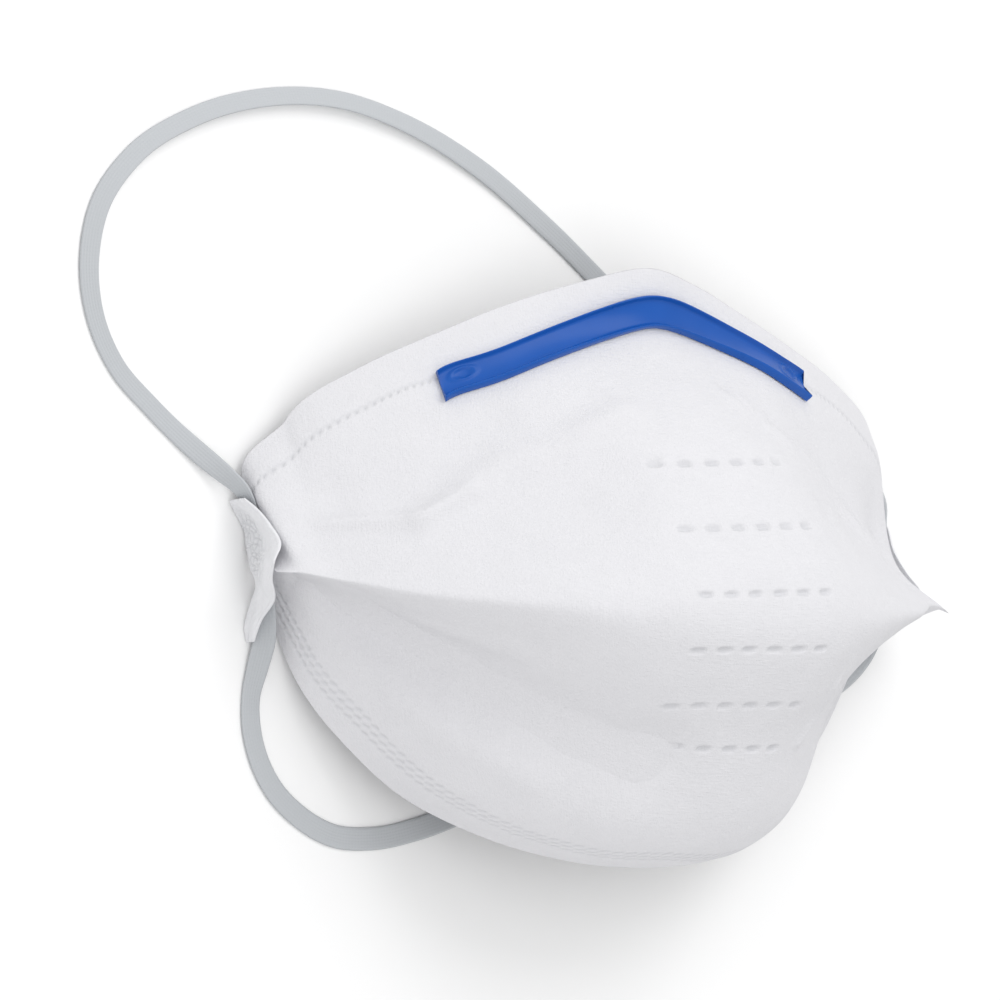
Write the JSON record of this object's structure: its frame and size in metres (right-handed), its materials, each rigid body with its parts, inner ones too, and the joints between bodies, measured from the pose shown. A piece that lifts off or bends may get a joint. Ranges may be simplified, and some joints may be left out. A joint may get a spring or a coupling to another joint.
{
  "type": "respirator mask",
  "caption": "Fold-flat respirator mask opened to its worn cup shape, with a bendable nose clip and flat elastic headbands laid beside it.",
  "frame": {"origin": "centre of the mask's footprint, on the surface it rests on, measured without the headbands", "axes": "+X across the mask from ear to ear, +Y from chin to nose, +Z out through the front, away from the face"},
  "size_m": [0.212, 0.1589, 0.071],
  "materials": {
    "filter_cloth": "soft white nonwoven, matte",
    "tab_cloth": "white nonwoven pressed with a weld pattern",
    "clip_plastic": "blue moulded plastic, satin gloss",
    "band_elastic": "light grey flat knitted elastic"
  },
  "bodies": {
    "root": {"filter_body": "filter_cloth", "nose_clip": "clip_plastic", "left_tab": "tab_cloth", "right_tab": "tab_cloth", "upper_headband": "band_elastic", "lower_headband": "band_elastic"}
  },
  "joints": []
}
